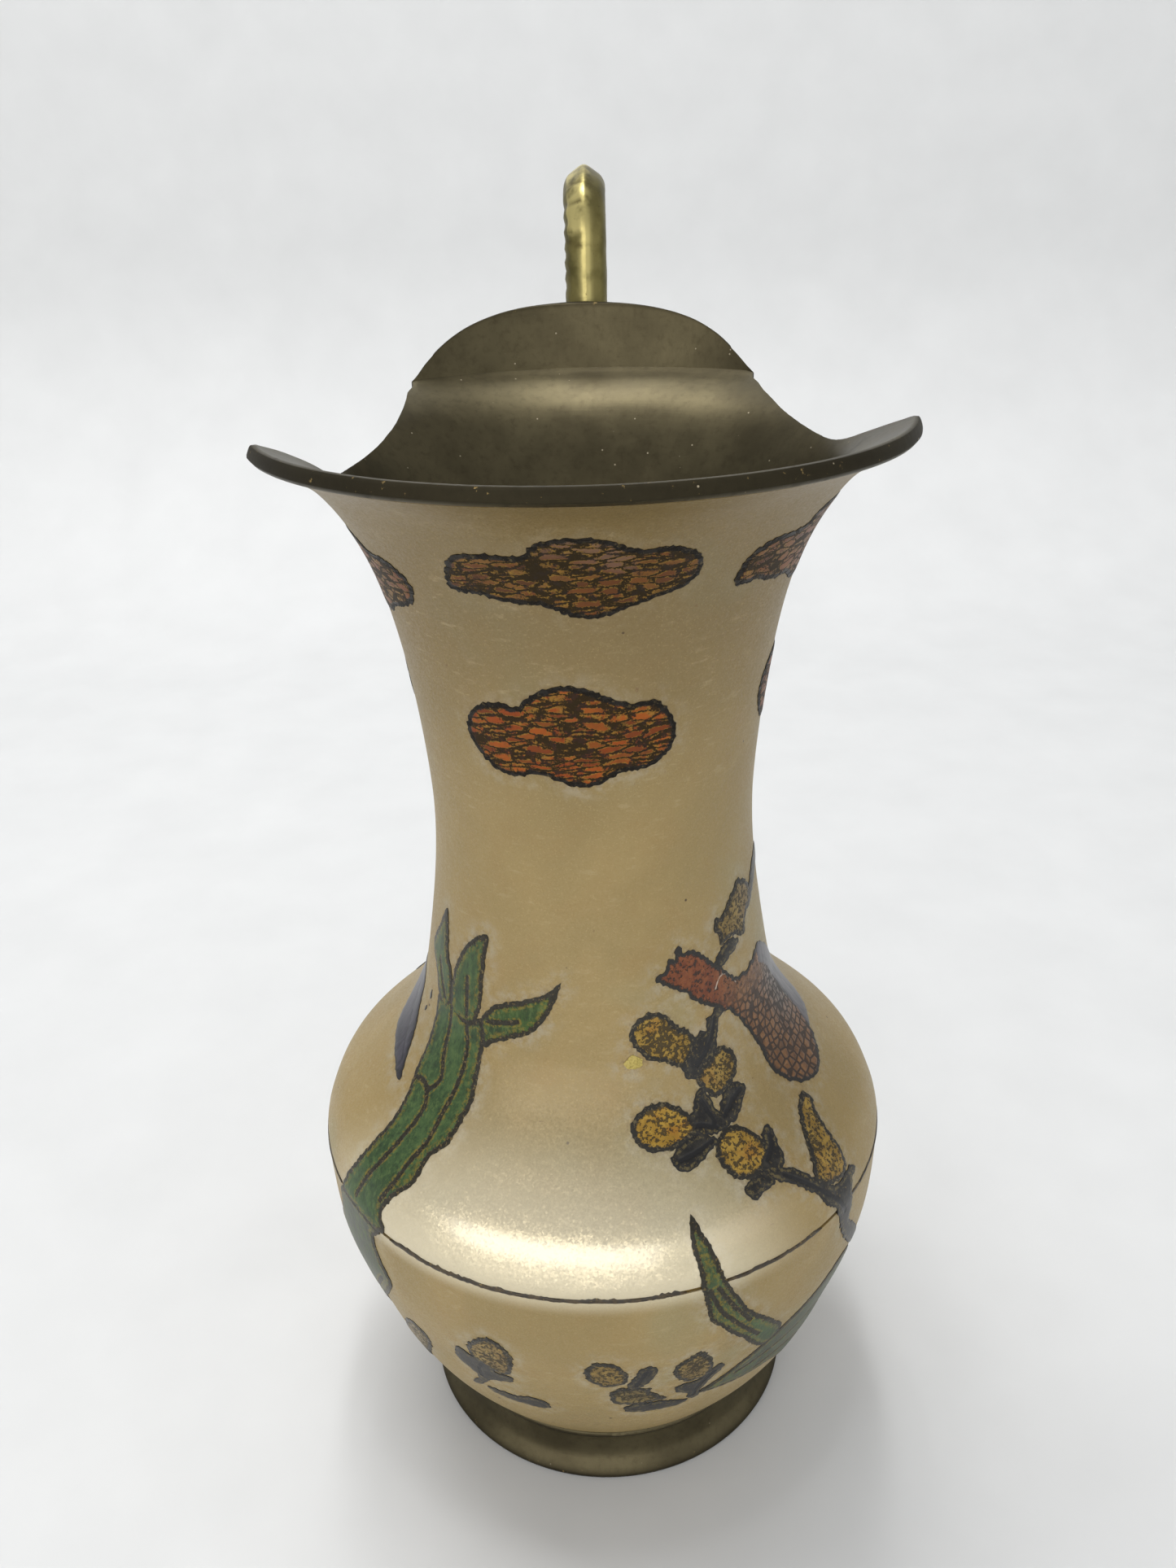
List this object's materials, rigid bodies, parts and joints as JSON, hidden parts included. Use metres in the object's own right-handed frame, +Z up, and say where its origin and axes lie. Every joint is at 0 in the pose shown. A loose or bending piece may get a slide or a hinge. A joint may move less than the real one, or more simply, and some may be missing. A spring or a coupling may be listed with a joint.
{
  "type": "pitcher",
  "caption": "Cast brass pitcher with cream lacquer and inlaid clouds, reeds, buds and a bird, a flared hooded mouth and a loop handle.",
  "frame": {"origin": "centre of the foot's resting plane", "axes": "+Z up along the body's axis, +Y towards the handle and the hood, so the pitcher pours towards -Y, +X to the right seen from the pouring side"},
  "size_m": [0.14, 0.1828, 0.302],
  "materials": {
    "patinated_brass": "dark brown patina, satin, lathe and brush marks",
    "handle_brass": "olive tarnished brass, worn bright on the ridge",
    "body_brass": "raw cast brass, dull, seen only inside",
    "brazing_brass": "brazing metal, semi-bright",
    "cream_lacquer": "cream pearl lacquer, glossy, faintly blotched",
    "black_lacquer": "black filled groove, ragged edge",
    "orange_lacquer": "burnt orange and brown lacquer over engraved brass flecks",
    "green_lacquer": "leaf green lacquer, satin",
    "violet_lacquer": "violet black lacquer",
    "ochre_lacquer": "ochre lacquer with engraved stipple",
    "red_lacquer": "brick red lacquer with engraved scales",
    "dark_stem_lacquer": "dark grey lacquer"
  },
  "bodies": {
    "root": {"foot_ring": "patinated_brass", "foot_braze": "brazing_brass", "bowl": "body_brass", "belly_braze": "brazing_brass", "shoulder_and_neck": "body_brass", "neck_braze": "brazing_brass", "mouth": "patinated_brass", "handle": "handle_brass", "handle_brazes": "brazing_brass", "bowl_lacquer": "cream_lacquer", "upper_lacquer": "cream_lacquer", "belly_line": "black_lacquer", "cloud_inlays": "orange_lacquer", "reed_inlays": "green_lacquer", "violet_inlays": "violet_lacquer", "bud_inlays": "ochre_lacquer", "bird_inlay": "red_lacquer", "stem_inlays": "dark_stem_lacquer"}
  },
  "joints": []
}
